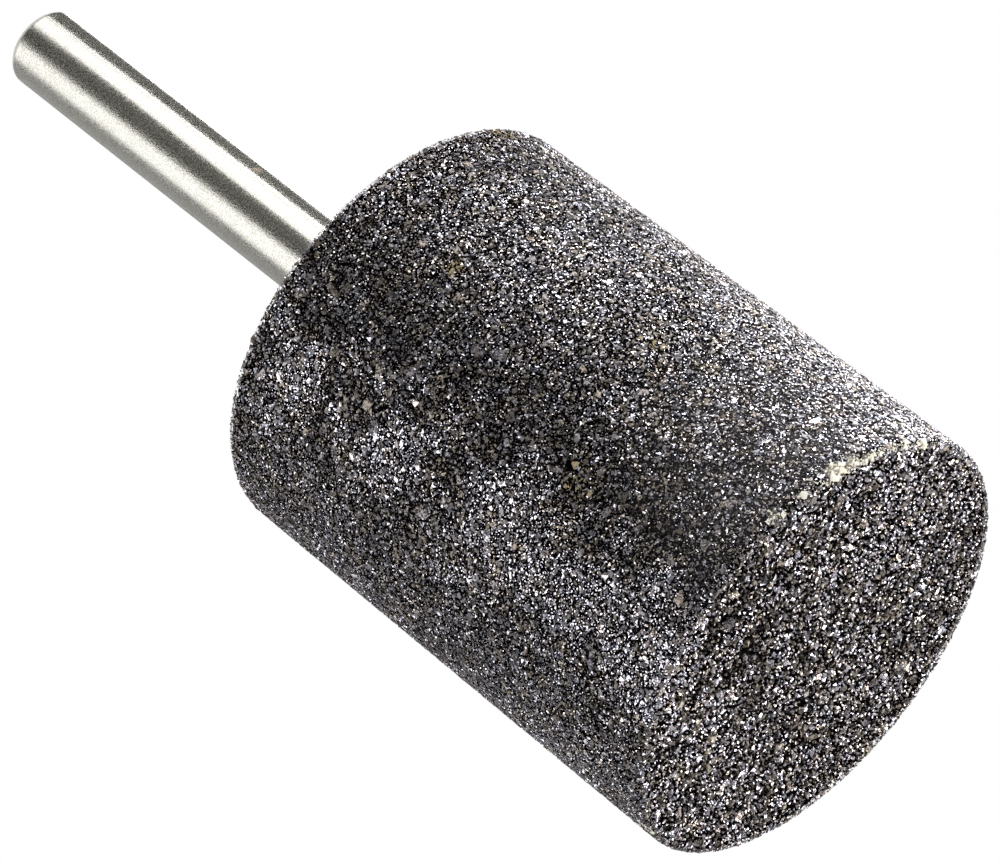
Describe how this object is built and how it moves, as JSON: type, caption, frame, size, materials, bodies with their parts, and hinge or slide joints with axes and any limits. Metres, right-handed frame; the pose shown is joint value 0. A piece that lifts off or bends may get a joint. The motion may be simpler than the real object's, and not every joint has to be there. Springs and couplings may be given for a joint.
{
  "type": "mounted point",
  "caption": "Cylindrical mounted point: a dark, coarse abrasive head cemented on a straight ground steel shank, for grinding in a collet-held rotary tool.",
  "frame": {"origin": "centre of the nose face, on which the tool stands", "axes": "+Z along the tool's axis from the nose face to the free end of the shank; X and Y are any two directions across it"},
  "size_m": [0.032, 0.032, 0.08],
  "materials": {
    "abrasive": "coarse bonded grit, dark matte bond with glinting grains",
    "steel": "centreless ground, satin",
    "cement": "matte"
  },
  "bodies": {
    "root": {"abrasive_head": "abrasive", "shank": "steel", "mounting_cement": "cement"}
  },
  "joints": []
}
